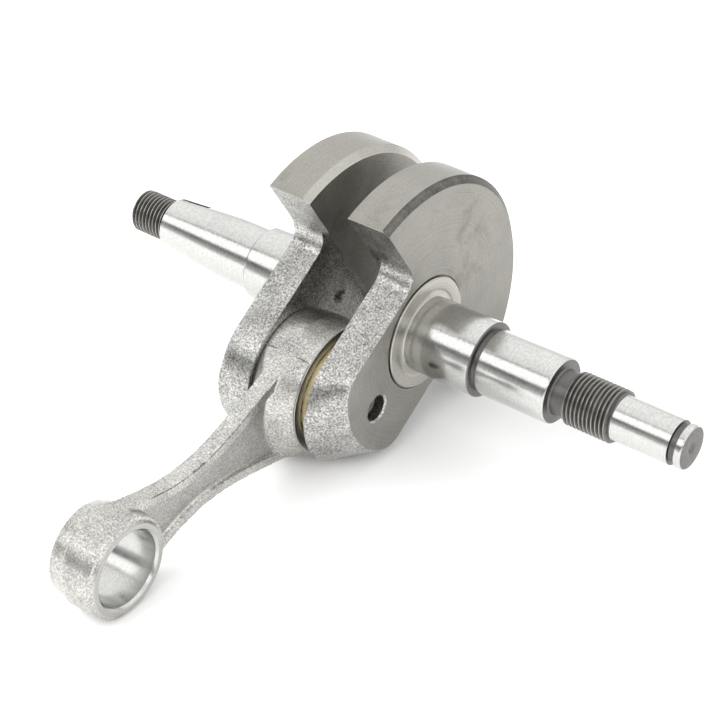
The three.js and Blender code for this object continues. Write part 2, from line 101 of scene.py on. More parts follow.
def length(label, about, value):
    return FloatProperty(name=label, description=about, default=value * MM, unit="LENGTH")


def colour(label, about, hex_colour):
    return FloatVectorProperty(
        name=label, description=about, default=linear(hex_colour), size=4, subtype="COLOR",
        min=0, max=1)


class CrankSizes(bpy.types.PropertyGroup):
    crank_radius: length("Crank radius", "Half the stroke", 20)
    seat_radius: length("Bearing seat radius", "Of both main bearing seats", 8.5)
    journal_radius: length("Journal radius", "Next to each bearing seat", 7.4)
    boss_radius: length("Boss radius", "Raised face that the bearing seats on", 12.8)
    stub_radius: length("Stub radius", "Beyond the clutch-side thread", 4.95)
    clutch_thread: length("Clutch thread radius", "Crest radius of the M12 thread", 5.95)
    flywheel_thread: length("Flywheel thread radius", "Crest radius of the M10 thread", 4.95)
    pitch: length("Thread pitch", "Of both threads", 1)
    steps: IntProperty(name="Steps", description="Faces round a journal", default=144)


class RodSizes(bpy.types.PropertyGroup):
    centres: length("Centre distance", "From the big end to the small end", 67.5)
    width: length("Width", "Across both eyes", 12.2)
    big_bore: length("Big-end bore", "Radius that the needles run in", 12)
    small_bore: length("Small-end bore", "Radius for the pin's bearing", 8.5)


class BearingSizes(bpy.types.PropertyGroup):
    pin_radius: length("Pin radius", "Of the crankpin", 9)
    needle_radius: length("Needle radius", "With its running clearance taken off", 1.46)
    needle_length: length("Needle length", "Over the rounded ends", 9.2)
    needles: IntProperty(name="Needles", description="Rollers in the cage", default=13)


class FinishColours(bpy.types.PropertyGroup):
    forged: colour("Forged steel", "Shot-blasted skin of the arms", 0xCCCBC7)
    turned: colour("Turned steel", "Lathe-cut web faces", 0x9C9A93)
    ground: colour("Ground steel", "Journals and seats", 0xD2D2CF)
    # The threads' dark steel, also used as painted shade in necks, grooves and the key slot.
    dark_and_shade: colour("Oiled steel", "Threads, necks and grooves", 0x7C7A78)
    rod: colour("Rod steel", "Shot-blasted skin of the rod", 0xD2D0CB)
    # Lighter than the plating itself: painted fill light, so that the cage reads pale in shade.
    cage: colour("Plated cage", "Pale gold plating", 0xF6E6B8)
    floor: colour("Floor", "Pale studio paper", 0xF4F4F4)


class CrankshaftSettings(bpy.types.PropertyGroup):
    crank: PointerProperty(type=CrankSizes)
    rod: PointerProperty(type=RodSizes)
    bearing: PointerProperty(type=BearingSizes)
    finish: PointerProperty(type=FinishColours)


# ------------------------------------------------------------------ materials


def node(tree, kind, inputs=None, stops=None, **settings):
    """Adds a node with its settings, its values and links, and the stops of a colour ramp.
    A ramp starts with two stops, so the first and second given are its ends."""
    made = tree.nodes.new(kind)
    for key, value in settings.items():
        setattr(made, key, value)
    for key, value in (inputs or {}).items():
        if isinstance(value, bpy.types.NodeSocket):
            tree.links.new(value, made.inputs[key])
        else:
            made.inputs[key].default_value = value
    for i, (place, shade) in enumerate(stops or []):
        stop = made.color_ramp.elements[i] if i < 2 else made.color_ramp.elements.new(place)
        stop.position = place
        stop.color = shade if hasattr(shade, "__len__") else (shade, shade, shade, 1)
    return made


STAIN = 0xB09A86
STAIN_SIZE = 14
TORN_EDGE = 0x3A3835


def scaled(shade, factor):
    """A colour made lighter or darker."""
    return (*(min(c * factor, 1) for c in shade[:3]), 1)


def metal(name, shade, roughness, grain, lines=None, patches=9, painted_glints=0, speckle=0.14,
          depth=0.012, contrast=0.25, line_depth=0.0, stain_share=0.0, centre=None,
          metallic=1.0, flash=False, axis="X"):
    """A steel surface. grain is the size of its texture in millimetres, lines the spacing of
    tool marks (rings about the shaft where centre is given, else across the axis), patches
    the size of its lighter and darker areas, and depth how deep the grain is. flash darkens
    the vertices that are marked as the trimmed edge of a forging."""
    material = bpy.data.materials.new(name)
    material.use_nodes = True
    tree = material.node_tree
    tree.nodes.clear()
    place = node(tree, "ShaderNodeTexCoord").outputs["Object"]
    if centre is not None:
        place = node(tree, "ShaderNodeMapping", {
            "Vector": place, "Location": -Vector((0, centre.y, centre.z))}).outputs["Vector"]
    patch = node(tree, "ShaderNodeTexNoise", {
        "Vector": place, "Scale": 1 / (patches * MM), "Detail": 5, "Roughness": 0.62})
    grains = node(tree, "ShaderNodeTexNoise", {
        "Vector": place, "Scale": 1 / (grain * MM), "Detail": 3, "Roughness": 0.7})
    shade_patch = node(tree, "ShaderNodeValToRGB", {"Fac": patch.outputs["Fac"]}, stops=[
        (0.3, scaled(shade, 1 - contrast)), (0.7, scaled(shade, 1 + contrast * 0.6))])
    shade_grain = node(tree, "ShaderNodeValToRGB", {"Fac": grains.outputs["Fac"]}, stops=[
        (0.38, 1 - speckle), (0.6, 1.0)])
    base = node(tree, "ShaderNodeMixRGB", {
        "Fac": 1, "Color1": shade_patch.outputs["Color"],
        "Color2": shade_grain.outputs["Color"]}, blend_type="MULTIPLY").outputs["Color"]
    # Painted glints: the brightest grains are lightened, a painted highlight in the colour.
    if painted_glints:
        painted_glint_tone = node(tree, "ShaderNodeValToRGB", {"Fac": grains.outputs["Fac"]}, stops=[
            (0.6, 0), (0.72, painted_glints)])
        base = node(tree, "ShaderNodeMixRGB", {
            "Fac": 1, "Color1": base, "Color2": painted_glint_tone.outputs["Color"]},
            blend_type="ADD").outputs["Color"]
    if flash:
        edge = node(tree, "ShaderNodeAttribute", attribute_name="flash").outputs["Fac"]
        ragged = node(tree, "ShaderNodeMath", {
            0: edge, 1: grains.outputs["Fac"]}, operation="MULTIPLY").outputs[0]
        torn = node(tree, "ShaderNodeValToRGB", {"Fac": ragged}, stops=[
            (0.4, 0), (0.5, 0.8)])
        base = node(tree, "ShaderNodeMixRGB", {
            "Fac": torn.outputs["Color"], "Color1": base, "Color2": linear(TORN_EDGE)},
            blend_type="MULTIPLY").outputs["Color"]
    if stain_share:
        cloud = node(tree, "ShaderNodeTexNoise", {
            "Vector": place, "Scale": 1 / (STAIN_SIZE * MM), "Detail": 6, "Roughness": 0.7,
            "Distortion": 0.4})
        mask = node(tree, "ShaderNodeValToRGB", {"Fac": cloud.outputs["Fac"]}, stops=[
            (0.56, 0), (0.72, stain_share)])
        base = node(tree, "ShaderNodeMixRGB", {
            "Fac": mask.outputs["Color"], "Color1": base, "Color2": linear(STAIN)},
            blend_type="MULTIPLY").outputs["Color"]
    height = node(tree, "ShaderNodeMath", {
        0: grains.outputs["Fac"], 1: depth}, operation="MULTIPLY").outputs[0]
    rough = node(tree, "ShaderNodeMapRange", {
        "Value": patch.outputs["Fac"], "From Min": 0.3, "From Max": 0.7,
        "To Min": roughness * 0.82, "To Max": roughness * 1.18}).outputs["Result"]
    if lines:
        parts = node(tree, "ShaderNodeSeparateXYZ", {"Vector": place})
        if centre is not None:
            flat = node(tree, "ShaderNodeCombineXYZ", {
                "Y": parts.outputs["Y"], "Z": parts.outputs["Z"]})
            along = node(tree, "ShaderNodeVectorMath", {
                0: flat.outputs["Vector"]}, operation="LENGTH").outputs["Value"]
        else:
            along = parts.outputs[axis]
        where = node(tree, "ShaderNodeMath", {
            0: along, 1: 1 / (lines * MM)}, operation="MULTIPLY").outputs[0]
        marks = node(tree, "ShaderNodeTexNoise", {
            "W": where, "Scale": 1, "Detail": 4, "Roughness": 0.75}, noise_dimensions="1D")
        height = node(tree, "ShaderNodeMath", {
            0: marks.outputs["Fac"], 1: line_depth, 2: height},
            operation="MULTIPLY_ADD").outputs[0]
        streak = node(tree, "ShaderNodeValToRGB", {"Fac": marks.outputs["Fac"]}, stops=[
            (0.3, 0.8), (0.65, 1.0)])
        base = node(tree, "ShaderNodeMixRGB", {
            "Fac": 1, "Color1": base, "Color2": streak.outputs["Color"]},
            blend_type="MULTIPLY").outputs["Color"]
    bump = node(tree, "ShaderNodeBump", {
        "Height": height, "Distance": MM, "Strength": 1})
    surface = node(tree, "ShaderNodeBsdfPrincipled", {
        "Base Color": base, "Roughness": rough, "Metallic": metallic,
        "Normal": bump.outputs["Normal"]})
    node(tree, "ShaderNodeOutputMaterial", {"Surface": surface.outputs["BSDF"]})
    return material


def finishes(settings):
    """Every steel of the crankshaft, made once."""
    if "forged steel shot-blasted" in bpy.data.materials:
        return {key: bpy.data.materials[name] for key, name in FINISH_NAMES.items()}
    tint = settings.finish
    names = FINISH_NAMES
    # Carbon steel forging, shot-blasted: fine dark pits over pale grey, with painted glints where
    # the brightest grains are lightened. Shot marks are about 0.2 mm across, and are drawn at
    # 0.42 mm so that they show.
    metal(names["forged"], tint.forged, 0.3, 0.42, patches=6, painted_glints=0.3, speckle=0.66,
          depth=0.06, contrast=0.28)
    # Face turned on a lathe: a satin grey with fine rings about the shaft and faint brown
    # stains. The feed is about 0.15 mm, and is drawn at 0.35 mm so that it shows.
    metal(names["turned"], tint.turned, 0.4, 0.5, lines=0.35, patches=11, depth=0.002,
          contrast=0.2, line_depth=0.006, stain_share=0.5, centre=shaft_place)
    # The raised ring that a bearing seats on: the same turning, cleaner and lighter.
    metal(names["boss"], scaled(tint.turned, 1.5), 0.34, 0.5, lines=0.4, patches=9,
          depth=0.002, contrast=0.1, line_depth=0.008, centre=shaft_place)
    # Shaft end faced by a grinding wheel: dull, with straight scratches across it.
    metal(names["end"], tint.dark_and_shade, 0.4, 0.4, lines=0.5, patches=4, speckle=0.3,
          depth=0.004, contrast=0.2, line_depth=0.02, axis="Y")
    # Turned chamfer left with heat-treatment scale: darker, with brownish patches.
    metal(names["chamfer"], scaled(tint.turned, 0.55), 0.5, 0.45, lines=0.4, patches=5,
          speckle=0.35, depth=0.01, contrast=0.4, line_depth=0.004, stain_share=0.8)
    # Rim of the counterweight, turned: lines round the axis on a light satin.
    metal(names["rim"], scaled(tint.turned, 1.18), 0.42, 0.4, lines=0.3, patches=8,
          depth=0.003, contrast=0.12, line_depth=0.004, stain_share=0.3)
    # Cylindrically ground steel: nearly a mirror, with a hair of brushing round the shaft.
    metal(names["ground"], tint.ground, 0.2, 0.6, lines=0.22, patches=12, depth=0.0008,
          contrast=0.06, line_depth=0.0016)
    # Hardened steel left dark and oiled where no wheel reached: the threads. The same colour is
    # also painted shade in the necks, grooves, the key slot and the ring round the boss.
    metal(names["dark_and_shade"], tint.dark_and_shade, 0.42, 0.4, lines=0.4, patches=5, depth=0.004,
          contrast=0.3, line_depth=0.003)
    # Alloy steel forging, shot-blasted finer than the webs: paler, with a torn dark edge
    # where the flash was trimmed, and painted glints on its brightest grains.
    metal(names["rod"], tint.rod, 0.3, 0.4, patches=7, painted_glints=0.25, speckle=0.52,
          depth=0.055, contrast=0.24, flash=True)
    # Floor of the rod's pocket: even and fine-grained, its colour darkened as painted shade in
    # the recess, with fainter painted glints.
    metal(names["pocket"], scaled(tint.rod, 0.74), 0.4, 0.34, patches=9, painted_glints=0.12,
          speckle=0.42, depth=0.03, contrast=0.12)
    # Side of an eye faced flat: a soft satin ring.
    metal(names["faced"], scaled(tint.rod, 0.8), 0.36, 0.4, lines=0.3, patches=9,
          depth=0.002, contrast=0.1, line_depth=0.003, centre=small_end_place)
    # Honed bore: bright, with a fine cross grain that softens what it mirrors.
    metal(names["honed"], tint.ground, 0.24, 0.35, lines=0.25, patches=6, depth=0.004,
          contrast=0.12, line_depth=0.002)
    # Lapped bearing steel: the smoothest and brightest surface here.
    metal(names["lapped"], tint.ground, 0.14, 0.5, lines=0.2, patches=6, depth=0.0006,
          contrast=0.05, line_depth=0.0008)
    # Thin plating on the cage: pale gold, its colour made lighter and only half metallic so
    # that the cage reads pale where it sits in shade: painted fill light.
    metal(names["plated"], tint.cage, 0.4, 0.5, lines=0.4, patches=5, depth=0.003,
          contrast=0.12, line_depth=0.002, metallic=0.45)
    return {key: bpy.data.materials[name] for key, name in FINISH_NAMES.items()}


FINISH_NAMES = {
    "forged": "forged steel shot-blasted",
    "turned": "turned steel web face",
    "boss": "turned steel bearing shoulder",
    "chamfer": "stained steel chamfer",
    "end": "ground steel shaft end",
    "rim": "turned steel rim",
    "ground": "ground steel journal",
    "dark_and_shade": "oiled steel thread and painted recess shade",
    "rod": "forged rod steel shot-blasted",
    "pocket": "forged rod steel pocket",
    "faced": "faced steel eye side",
    "honed": "honed steel bore",
    "lapped": "lapped bearing steel",
    "plated": "pale gold plated steel",
}


# ------------------------------------------------------------------ making meshes


def turn(bm, outline, steps, finish=0, centre=(0, 0, 0)):
    """Turns a half outline of (x, radius) about the X axis into a closed body."""
    verts = [bm.verts.new((x, centre[1], centre[2] + radius)) for x, radius in outline]
    edges = [bm.edges.new(pair) for pair in zip(verts, verts[1:])]
    before = set(bm.faces)
    bmesh.ops.spin(bm, geom=verts + edges, cent=(0, centre[1], centre[2]), axis=(1, 0, 0),
                   angle=FULL_TURN, steps=steps, use_merge=True)
    made = [f for f in bm.faces if f not in before]
    for face in made:
        face.material_index = finish
    tidy(bm, dict.fromkeys(v for f in made for v in f.verts))
    return made


def tidy(bm, verts):
    bmesh.ops.remove_doubles(bm, verts=list(verts), dist=1e-4)


def sharp_edges(bm, least=SHARP):
    return [e for e in bm.edges if e.is_manifold and e.calc_face_angle(0) > least]


def break_edges(bm, edges, offset, segments=2):
    """Bevels edges as a file or a tumbling barrel leaves them."""
    bmesh.ops.bevel(bm, geom=edges, offset=offset, segments=segments, profile=0.5,
                    affect="EDGES", material=-1, clamp_overlap=True)


def add_body(bm, other):
    """Adds a finished body to bm, keeping its finishes."""
    mesh = bpy.data.meshes.new("body")
    other.to_mesh(mesh)
    other.free()
    bm.from_mesh(mesh)
    bpy.data.meshes.remove(mesh)


def turned_body(outline, steps, finish, bevel=0.12, centre=(0, 0, 0), finish_at=None):
    """A turned body of its own with its corners broken. finish_at gives a face's finish from
    the middle of the face."""
    bm = bmesh.new()
    turn(bm, outline, steps, finish, centre)
    bmesh.ops.recalc_face_normals(bm, faces=bm.faces)
    if bevel:
        break_edges(bm, sharp_edges(bm), bevel)
    if finish_at:
        for face in bm.faces:
            face.material_index = finish_at(face)
    return bm


def helix(start, end, crest, pitch, steps=48, end_chamfer=0.5):
    """A right-hand thread between two places, its ends chamfered and closed."""
    root = crest - 0.61 * pitch
    bm = bmesh.new()
    first = start - pitch
    ridge = [(0, root), (0.08, root), (0.42, crest - 0.04), (0.5, crest), (0.58, crest - 0.04),
             (0.92, root), (1, root)]
    verts = [bm.verts.new((first + x * pitch, 0, radius)) for x, radius in ridge]
    edges = [bm.edges.new(pair) for pair in zip(verts, verts[1:])]
    turns = math.ceil((end - start) / pitch) + 2
    bmesh.ops.spin(bm, geom=verts + edges, cent=(0, 0, 0), axis=(1, 0, 0),
                   dvec=(pitch / steps, 0, 0), angle=FULL_TURN * turns, steps=steps * turns)
    tidy(bm, bm.verts)
    for vert in bm.verts:
        inside = min(vert.co.x - start, end - vert.co.x)
        limit = max(root - 0.1, min(crest, crest - end_chamfer + inside))
        radius = math.hypot(vert.co.y, vert.co.z)
        if radius > limit:
            vert.co.y *= limit / radius
            vert.co.z *= limit / radius
    for place, side in ((start, -1), (end, 1)):
        bmesh.ops.bisect_plane(bm, geom=bm.verts[:] + bm.edges[:] + bm.faces[:],
                               plane_co=(place, 0, 0), plane_no=(side, 0, 0),
                               clear_outer=True, dist=1e-5)
    bmesh.ops.holes_fill(bm, edges=[e for e in bm.edges if e.is_boundary], sides=0)
    bmesh.ops.recalc_face_normals(bm, faces=bm.faces)
    return bm


def copied(name, place):
    """A CAD node's mesh in its own millimetres, its loose triangles merged into faces."""
    bm = bmesh.new()
    bm.from_mesh(frame["nodes"][name].data)
    bmesh.ops.transform(bm, matrix=place.inverted(), verts=bm.verts)
    bmesh.ops.remove_doubles(bm, verts=bm.verts, dist=1e-3)
    bmesh.ops.dissolve_limit(bm, angle_limit=math.radians(0.5), verts=bm.verts,
                             edges=bm.edges)
    return bm


def keep_below(bm, place, side):
    """Cuts the body at x = place and closes it, keeping what is on the other side."""
    bmesh.ops.bisect_plane(bm, geom=bm.verts[:] + bm.edges[:] + bm.faces[:],
                           plane_co=(place, 0, 0), plane_no=(side, 0, 0), clear_outer=True,
                           dist=1e-5)
    bmesh.ops.holes_fill(bm, edges=[e for e in bm.edges if e.is_boundary], sides=0)


def applied(bm, kind, **settings):
    """bm as a modifier leaves it."""
    mesh = bpy.data.meshes.new("target")
    bm.to_mesh(mesh)
    target = bpy.data.objects.new("target", mesh)
    bpy.context.scene.collection.objects.link(target)
    modifier = target.modifiers.new("shape", kind)
    for key, value in settings.items():
        setattr(modifier, key, value)
    bpy.context.view_layer.update()
    result = target.evaluated_get(bpy.context.evaluated_depsgraph_get())
    bm.clear()
    bm.from_mesh(result.to_mesh())
    result.to_mesh_clear()
    bpy.data.objects.remove(target)
    bpy.data.meshes.remove(mesh)
    return bm


def carved(bm, tool):
    """bm with the tool's shape cut out of it."""
    mesh = bpy.data.meshes.new("tool")
    tool.to_mesh(mesh)
    tool.free()
    cutter = bpy.data.objects.new("cutter", mesh)
    bpy.context.scene.collection.objects.link(cutter)
    applied(bm, "BOOLEAN", operation="DIFFERENCE", solver="EXACT", object=cutter)
    bpy.data.objects.remove(cutter)
    bpy.data.meshes.remove(mesh)
    return bm


def forged_skin(bm, voxel, rounds):
    """One skin over overlapping bodies, its corners softened as a die leaves them."""
    applied(bm, "REMESH", mode="VOXEL", voxel_size=voxel)
    for _ in range(rounds):
        bmesh.ops.smooth_vert(bm, verts=bm.verts, factor=0.5, use_axis_x=True,
                              use_axis_y=True, use_axis_z=True)
    return bm


def open_bore(bm, centre_y, radius):
    """Widens a rough bore, which a machined ring then lines."""
    for vert in bm.verts:
        y, z = vert.co.y - centre_y, vert.co.z
        reach = math.hypot(y, z)
        if reach < radius:
            vert.co.y = centre_y + y * radius / reach
            vert.co.z = z * radius / reach


def finished(bm, name, place, materials):
    """The finished object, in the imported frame, with smooth curves and crisp corners."""
    for face in bm.faces:
        face.smooth = True
    for edge in bm.edges:
        edge.smooth = edge.calc_face_angle(math.pi) < SHARP if edge.is_manifold else True
    bmesh.ops.transform(bm, matrix=place, verts=bm.verts)
    mesh = bpy.data.meshes.new(name)
    bm.to_mesh(mesh)
    bm.free()
    for material in materials:
        mesh.materials.append(material)
    thing = bpy.data.objects.new(name, mesh)
    bpy.context.scene.collection.objects.link(thing)
    return thing


def fit(thing, body, slot, *nodes):
    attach(thing, body)
    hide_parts(*nodes)


# ------------------------------------------------------------------ crank halves

FORGED, TURNED, RIM, GROUND, DARK_STEEL_AND_SHADE, BOSS, CHAMFER, END = range(8)
HALF_FINISHES = ("forged", "turned", "rim", "ground", "dark_and_shade", "boss", "chamfer", "end")
FAR_WEB_OUTER = -31.1


RIM_RADIUS = 35.25
WEB_THICKNESS = 10.3
ARM_THICKNESS = 7.9
FLANK = 5.2  # height of the flank where the counterweight starts
BOSS_GROOVE = (12.5, 13.15)  # inner and outer radius of the ring round the bearing shoulder
BOSS_GROOVE_DEPTH = 0.35
BOSS_EDGE = 13.6
PIN_HOLE_EDGE = 9.6
SLIVER = 0.3
ARM_OUTER_BREAK = 0.75
ARM_INNER_BREAK = 0.4

# Places along the shafts, and radii that the sizes do not set.
SEAT_END, NECK_END = 16.8, 18.35
JOURNAL_END = 35.3
UNDERCUT_RADIUS = 5.2
CLUTCH_THREAD_START, CLUTCH_THREAD_END = 38.8, 50.2
CLIP_GROOVE = (63.7, 65.3)
CLIP_GROOVE_RADIUS = 4.05
SHAFT_END = 66.8
THREAD_CORE = 0.68  # how far the shaft under a thread lies below its crest
FAR_SEAT_END, FAR_JOURNAL_START = -43.6, -44.7
TAPER_START, TAPER_FOOT = -52.7, -71.0
TAPER_END_RADIUS = 5.95
TAPER_LENGTH = 18.3
FAR_SHAFT_END = -80.7
KEY_CUTTER_RADIUS, KEY_WIDTH, KEY_DEPTH = 5, 3, 2
KEY_FROM_TAPER_FOOT = 4.3
KEY_CLOCKING = math.radians(28)


def web_finish(outer_x, outward):
    """Says which finish a face of a web has, from where it is and which way it looks."""

    def choose(face):
        middle = face.calc_center_median()
        radius = math.hypot(middle.y, middle.z)
        looks_out = face.normal.x * outward
        depth = (outer_x - middle.x) * outward
        if radius > RIM_RADIUS - 2.2 and middle.y > FLANK - 0.4:
            if 0.4 < face.normal.x < 0.9 and middle.y > FLANK + 0.3:
                return CHAMFER if outward > 0 else BOSS
            return RIM
        if looks_out > 0.95 and depth < 0.3:
            return TURNED
        if looks_out < -0.95 and depth > WEB_THICKNESS - 0.3:
            return TURNED
        return FORGED

    return choose


def paint_thread(bm, crest):
    """Dark flanks, and crests in the lighter shoulder finish: a painted highlight along each crest."""
    for face in bm.faces:
        middle = face.calc_center_median()
        crest_highlight = math.hypot(middle.y, middle.z) > crest - 0.05
        face.material_index = BOSS if crest_highlight else DARK_STEEL_AND_SHADE


def web(name, outer_x, outward, sizes):
    """A web from its CAD solid, cut off at the shaft, with the edges of its forged arm broken:
    widely on the outer face, finely on the inner face."""
    bm = copied(name, crank_frame)
    keep_below(bm, outer_x + outward * 0.02, outward)
    floor, mouth = outer_x - outward * BOSS_GROOVE_DEPTH, outer_x + outward
    inner, outer = BOSS_GROOVE
    groove = [(floor, inner), (floor, outer), (mouth, outer), (mouth, inner), (floor, inner)]
    # The groove round the boss takes the dark finish: painted shade in the ring.
    carved(bm, turned_body(groove, sizes.steps, DARK_STEEL_AND_SHADE, 0))
    tidy(bm, bm.verts)
    arm_outer, arm_inner = [], []
    for edge in sharp_edges(bm, math.radians(40)):
        middle = (edge.verts[0].co + edge.verts[1].co) / 2
        depth = (outer_x - middle.x) * outward
        radius = math.hypot(middle.y, middle.z)
        span = edge.calc_length()
        at_pin = math.hypot(middle.y + sizes.crank_radius / MM, middle.z) < PIN_HOLE_EDGE
        at_corner = radius > RIM_RADIUS - 3 and middle.y < FLANK + 1.6 and span > 1
        if radius < BOSS_EDGE or at_pin or at_corner or span < SLIVER:
            continue
        if middle.y < FLANK - 0.6 and abs(depth) < 0.05:
            arm_outer.append(edge)
        elif middle.y < FLANK - 0.6 and abs(depth - ARM_THICKNESS) < 0.05:
            arm_inner.append(edge)
    bmesh.ops.bevel(bm, geom=arm_outer, offset=ARM_OUTER_BREAK, segments=3, profile=0.5,
                    affect="EDGES", material=-1, clamp_overlap=False)
    bmesh.ops.bevel(bm, geom=[e for e in arm_inner if e.is_valid], offset=ARM_INNER_BREAK,
                    segments=2, profile=0.5, affect="EDGES", material=-1,
                    clamp_overlap=False)
    choose = web_finish(outer_x, outward)
    for face in bm.faces:
        if face.material_index != DARK_STEEL_AND_SHADE:
            face.material_index = choose(face)
    return bm


class CRANKSHAFT_OT_clutch_half(bpy.types.Operator):
    """Builds the clutch-side crank half: web, seat, journal, thread and stub"""

    bl_idname = "crankshaft.clutch_half"
    bl_label = "Clutch-side half"

    def execute(self, context):
        settings = context.scene.crankshaft
        s = settings.crank
        seat, journal, stub = s.seat_radius / MM, s.journal_radius / MM, s.stub_radius / MM
        crest, boss = s.clutch_thread / MM, s.boss_radius / MM
        core = crest - THREAD_CORE
        groove_start, groove_end = CLIP_GROOVE
        bm = web("clutch_side_crank_half", 0, 1, s)
        shaft = [
            (-1, 0), (-1, boss), (BOSS_HEIGHT - 0.2, boss), (BOSS_HEIGHT, boss - 0.2),
            (BOSS_HEIGHT, 10.1), (BOSS_HEIGHT - 0.25, 9.85), (BOSS_HEIGHT - 0.25, seat + 0.5),
            (BOSS_HEIGHT + 0.1, seat - 0.1), (1.5, seat - 0.1), (1.7, seat),
            (SEAT_END, seat), (SEAT_END + 0.25, seat - 0.25),
            (SEAT_END + 0.3, journal - 0.3), (NECK_END - 0.15, journal - 0.35),
            (NECK_END, journal), (JOURNAL_END - 0.3, journal), (JOURNAL_END, journal - 0.3),
            (JOURNAL_END, 5.5), (JOURNAL_END + 0.3, UNDERCUT_RADIUS),
            (CLUTCH_THREAD_START, UNDERCUT_RADIUS), (CLUTCH_THREAD_START, core),
            (CLUTCH_THREAD_END - 0.2, core), (CLUTCH_THREAD_END, stub + 0.1),
            (CLUTCH_THREAD_END + 0.2, stub), (groove_start, stub),
            (groove_start, CLIP_GROOVE_RADIUS + 0.05),
            (groove_start + 0.1, CLIP_GROOVE_RADIUS), (groove_end - 0.1, CLIP_GROOVE_RADIUS),
            (groove_end, CLIP_GROOVE_RADIUS + 0.05), (groove_end, stub),
            (SHAFT_END - 0.35, stub), (SHAFT_END, stub - 0.35), (SHAFT_END, 1.35),
            (SHAFT_END - 0.15, 1.15), (SHAFT_END - 1.3, 0),
        ]

        def choose_shaft(face):
            middle = face.calc_center_median()
            radius = math.hypot(middle.y, middle.z)
            along = middle.x
            if along < BOSS_HEIGHT + 0.12:
                return BOSS
            if along > SHAFT_END - 0.05:
                return END
            # Necks, the undercut, the clip groove and the centre hole take the dark finish: painted shade in these
            # recesses.
            if (SEAT_END - 0.05 < along < NECK_END - 0.05
                    or JOURNAL_END - 0.1 < along < CLUTCH_THREAD_END + 0.1
                    or groove_start - 0.05 < along < groove_end + 0.05
                    or along > SHAFT_END - 0.1):
                return DARK_STEEL_AND_SHADE
            return DARK_STEEL_AND_SHADE if along > groove_start + 0.3 and radius < 3 else GROUND

        add_body(bm, turned_body(shaft, s.steps, GROUND, 0.1, finish_at=choose_shaft))
        thread = helix(CLUTCH_THREAD_START - 0.2, CLUTCH_THREAD_END, crest, s.pitch / MM)
        paint_thread(thread, crest)
        add_body(bm, thread)
        kit = finishes(settings)
        half = finished(bm, "clutch_half", crank_frame, [kit[k] for k in HALF_FINISHES])
        fit(half, "crank", "forged_steel", "clutch_side_crank_half")
        return {"FINISHED"}


class CRANKSHAFT_OT_flywheel_half(bpy.types.Operator):
    """Builds the flywheel-side crank half: web, seat, taper with its key slot, and thread"""

    bl_idname = "crankshaft.flywheel_half"
    bl_label = "Flywheel-side half"

    def execute(self, context):
        settings = context.scene.crankshaft
        s = settings.crank
        seat, journal = s.seat_radius / MM, s.journal_radius / MM
        crest, boss = s.flywheel_thread / MM, s.boss_radius / MM
        core = crest - THREAD_CORE
        face_x = FAR_WEB_OUTER
        bm = web("flywheel_side_crank_half", face_x, -1, s)
        shaft = [
            (face_x + 1, 0), (face_x + 1, boss), (face_x - 0.3, boss),
            (face_x - 0.5, boss - 0.2), (face_x - 0.5, 10.1), (face_x - 0.25, 9.85),
            (face_x - 0.25, seat + 0.5), (face_x - 0.6, seat - 0.1),
            (face_x - 1.5, seat - 0.1), (face_x - 1.7, seat), (FAR_SEAT_END, seat),
            (FAR_JOURNAL_START, journal), (TAPER_START, journal),
            (TAPER_FOOT + 0.35, TAPER_END_RADIUS), (TAPER_FOOT, TAPER_END_RADIUS - 0.35),
            (TAPER_FOOT, core), (FAR_SHAFT_END + 0.7, core), (FAR_SHAFT_END, crest - 1.3),
            (FAR_SHAFT_END, 2.0), (FAR_SHAFT_END + 0.2, 1.8), (FAR_SHAFT_END + 1.9, 0),
        ]
        body = turned_body(shaft, s.steps, GROUND, 0)
        cutter = bmesh.new()
        bmesh.ops.create_cone(cutter, cap_ends=True, segments=72, depth=KEY_WIDTH,
                              radius1=KEY_CUTTER_RADIUS, radius2=KEY_CUTTER_RADIUS)
        slope = (journal - TAPER_END_RADIUS) / TAPER_LENGTH
        surface = TAPER_END_RADIUS + slope * KEY_FROM_TAPER_FOOT
        stand = Matrix.Translation((
            TAPER_FOOT + KEY_FROM_TAPER_FOOT, surface - KEY_DEPTH + KEY_CUTTER_RADIUS, 0))
        clock = Matrix.Rotation(KEY_CLOCKING, 4, "X")
        bmesh.ops.transform(cutter, matrix=clock @ stand, verts=cutter.verts)
        carved(body, cutter)

        def choose_shaft(face):
            middle = face.calc_center_median()
            if middle.x > face_x - BOSS_HEIGHT - 0.12:
                return BOSS
            if middle.x < TAPER_FOOT + 0.1:
                return DARK_STEEL_AND_SHADE
            surface = TAPER_END_RADIUS + slope * (middle.x - TAPER_FOOT)
            reach = math.hypot(middle.y, middle.z)
            # Faces sunk in the key slot take the dark finish: painted shade in the slot.
            in_slot = middle.x < TAPER_FOOT + 9 and reach < surface - 0.12
            return DARK_STEEL_AND_SHADE if in_slot else GROUND

        for face in body.faces:
            face.material_index = choose_shaft(face)
        add_body(bm, body)
        thread = helix(FAR_SHAFT_END + 0.2, TAPER_FOOT + 0.1, crest, s.pitch / MM)
        paint_thread(thread, crest)
        add_body(bm, thread)
        kit = finishes(settings)
        half = finished(bm, "flywheel_half", crank_frame, [kit[k] for k in HALF_FINISHES])
        fit(half, "crank", "forged_steel", "flywheel_side_crank_half")
        return {"FINISHED"}


PIN_ENDS = (-28.4, -2.7)
PIN_BORE = 2.4


